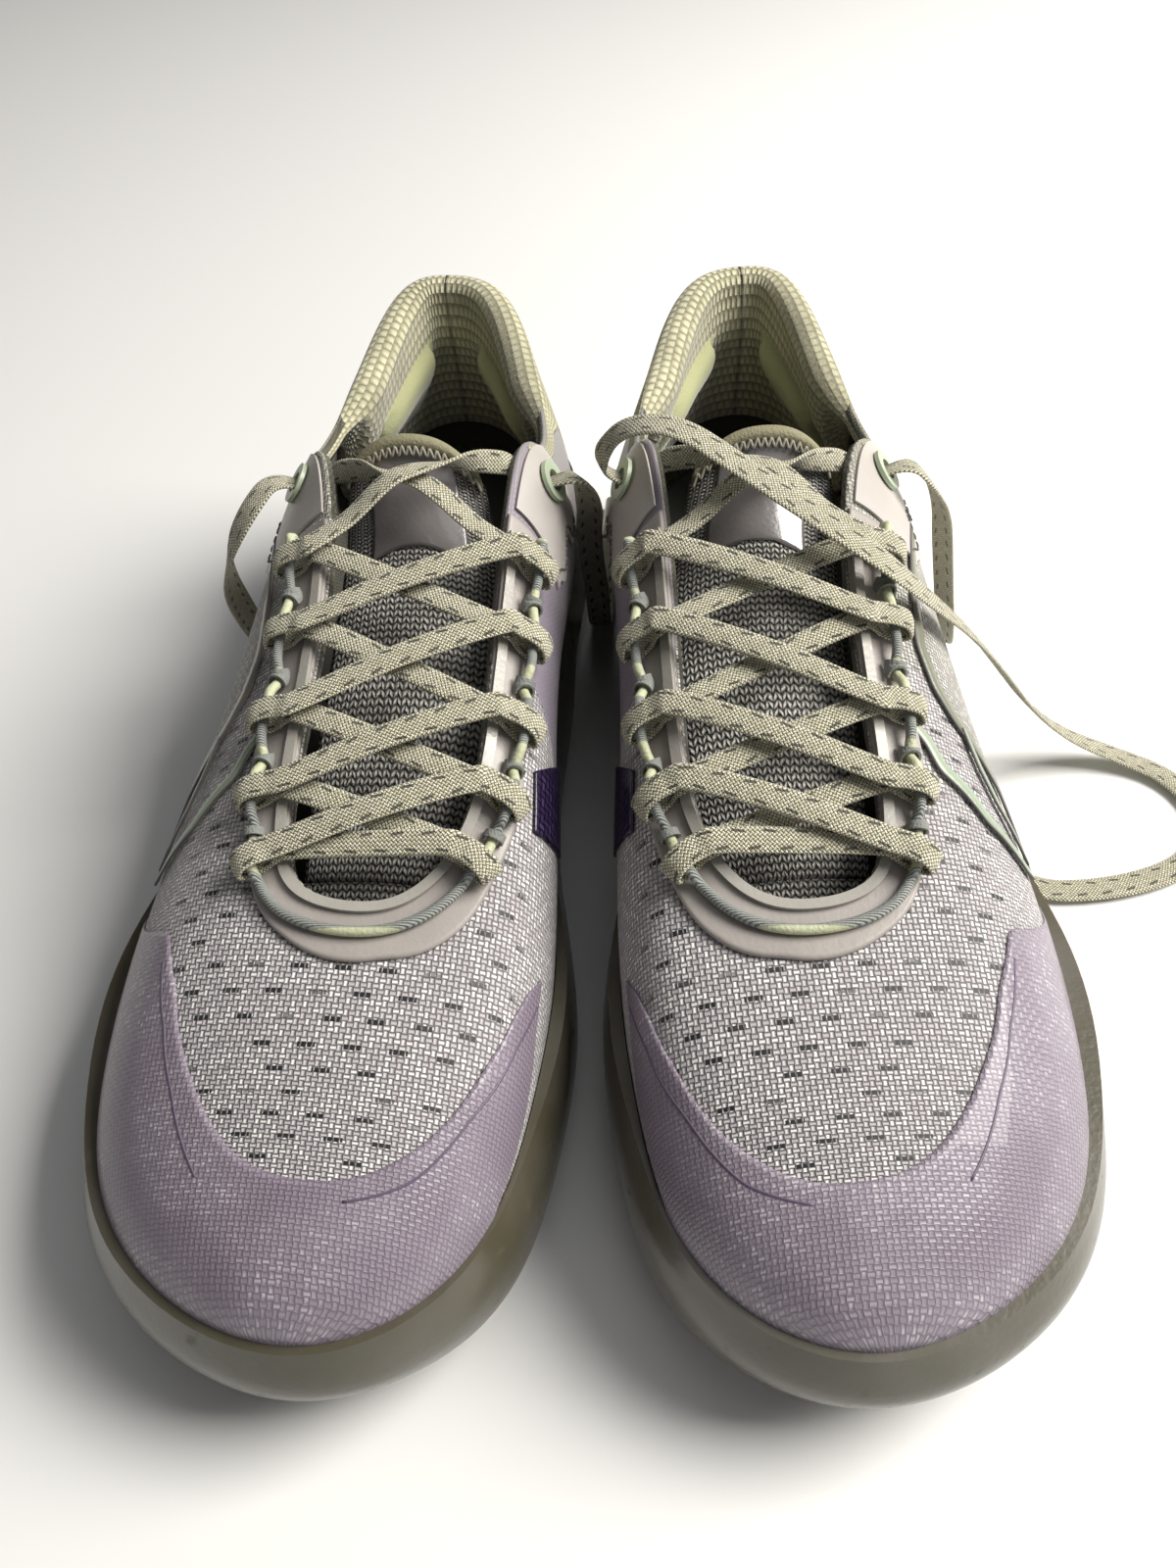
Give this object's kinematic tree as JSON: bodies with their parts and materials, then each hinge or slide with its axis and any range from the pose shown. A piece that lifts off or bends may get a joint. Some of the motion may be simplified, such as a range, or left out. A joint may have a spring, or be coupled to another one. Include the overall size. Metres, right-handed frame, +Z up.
{
  "type": "pair of basketball shoes",
  "caption": "Low-cut basketball shoes for a left and a right foot, with flat laces loosened, cupped rubber soles, padded collars and hinged tongues.",
  "frame": {"origin": "on the floor, midway between the two shoes and midway between heel and toe", "axes": "+X to the wearer's left shoe, +Y from toes to heels, +Z up"},
  "size_m": [0.2786, 0.3141, 0.1164],
  "materials": {
    "outsole_rubber": "matte grey-brown translucent rubber",
    "midsole_foam": "moulded foam",
    "sole_wall": "milky translucent rubber",
    "shank": "moulded plate",
    "board": "woven board",
    "insole_cloth": "brushed cloth over foam",
    "vamp_mesh": "woven mesh",
    "lateral_mesh": "woven mesh",
    "medial_textile": "satin textile",
    "heel_textile": "satin textile",
    "counter_board": "moulded board",
    "collar_knit": "scale-patterned knit over foam",
    "ankle_lining": "brushed lining over foam",
    "toe_film": "satin film over weave",
    "eyestay_film": "moulded film",
    "rail_film": "moulded film",
    "cable_cord": "braided cord",
    "tack_thread": "stitched thread",
    "eyelet_film": "moulded film",
    "ring_print": "moulded ring",
    "tongue_knit": "open knit over foam",
    "tongue_gloss": "gloss film",
    "binding_tape": "woven tape",
    "band_foil": "pale metallic film",
    "badge_film": "dark woven-look film",
    "lace_cloth": "flat woven lace",
    "aglet_tip": "clear tip"
  },
  "bodies": {
    "left_shoe": {"left_outsole": "outsole_rubber", "left_midsole": "midsole_foam", "left_sidewall": "sole_wall", "left_shank_plate": "shank", "left_strobel_board": "board", "left_vamp": "vamp_mesh", "left_lateral_quarter": "lateral_mesh", "left_medial_quarter": "medial_textile", "left_heel_quarter": "heel_textile", "left_heel_counter": "counter_board", "left_collar_pad": "collar_knit", "left_ankle_pads": "ankle_lining", "left_toe_cap": "toe_film", "left_eyestay": "eyestay_film", "left_throat_rails": "rail_film", "left_lace_cable": "cable_cord", "left_cable_tacks": "tack_thread", "left_eyelet_patches": "eyelet_film", "left_eyelet_rings": "ring_print", "left_side_bands": "band_foil", "left_medial_badge": "badge_film", "left_lace": "lace_cloth", "left_lace_tail_a": "lace_cloth", "left_lace_tail_b": "lace_cloth", "left_aglets": "aglet_tip"},
    "left_tongue_body": {"left_tongue": "tongue_knit", "left_tongue_patch": "tongue_gloss", "left_tongue_binding": "binding_tape"},
    "left_insole_body": {"left_insole": "insole_cloth"},
    "right_shoe": {"right_outsole": "outsole_rubber", "right_midsole": "midsole_foam", "right_sidewall": "sole_wall", "right_shank_plate": "shank", "right_strobel_board": "board", "right_vamp": "vamp_mesh", "right_lateral_quarter": "lateral_mesh", "right_medial_quarter": "medial_textile", "right_heel_quarter": "heel_textile", "right_heel_counter": "counter_board", "right_collar_pad": "collar_knit", "right_ankle_pads": "ankle_lining", "right_toe_cap": "toe_film", "right_eyestay": "eyestay_film", "right_throat_rails": "rail_film", "right_lace_cable": "cable_cord", "right_cable_tacks": "tack_thread", "right_eyelet_patches": "eyelet_film", "right_eyelet_rings": "ring_print", "right_side_bands": "band_foil", "right_medial_badge": "badge_film", "right_lace": "lace_cloth", "right_lace_tail_a": "lace_cloth", "right_lace_tail_b": "lace_cloth", "right_aglets": "aglet_tip"},
    "right_tongue_body": {"right_tongue": "tongue_knit", "right_tongue_patch": "tongue_gloss", "right_tongue_binding": "binding_tape"},
    "right_insole_body": {"right_insole": "insole_cloth"}
  },
  "joints": [
    {"name": "right_shoe_lift", "type": "slide", "parent": "left_shoe", "child": "right_shoe", "axis": [0, 0, 1], "range_m": [0, 0.15]},
    {"name": "left_tongue_fold", "type": "hinge", "parent": "left_shoe", "child": "left_tongue_body", "pos_m": [0.0383, -0.058, 0.0605], "axis": [0.9971, 0.0767, 0], "range_deg": [-9, 0], "stiffness_Nm_per_rad": 0.5, "springref_deg": 5.73},
    {"name": "left_insole_peel", "type": "hinge", "parent": "left_shoe", "child": "left_insole_body", "pos_m": [0.053, -0.1393, 0.0285], "axis": [0.9971, 0.0767, 0], "range_deg": [0, 3]},
    {"name": "right_tongue_fold", "type": "hinge", "parent": "right_shoe", "child": "right_tongue_body", "pos_m": [-0.0383, -0.058, 0.0605], "axis": [0.9971, -0.0767, 0], "range_deg": [-9, 0], "stiffness_Nm_per_rad": 0.5, "springref_deg": 5.73},
    {"name": "right_insole_peel", "type": "hinge", "parent": "right_shoe", "child": "right_insole_body", "pos_m": [-0.053, -0.1393, 0.0285], "axis": [0.9971, -0.0767, 0], "range_deg": [0, 3]}
  ]
}
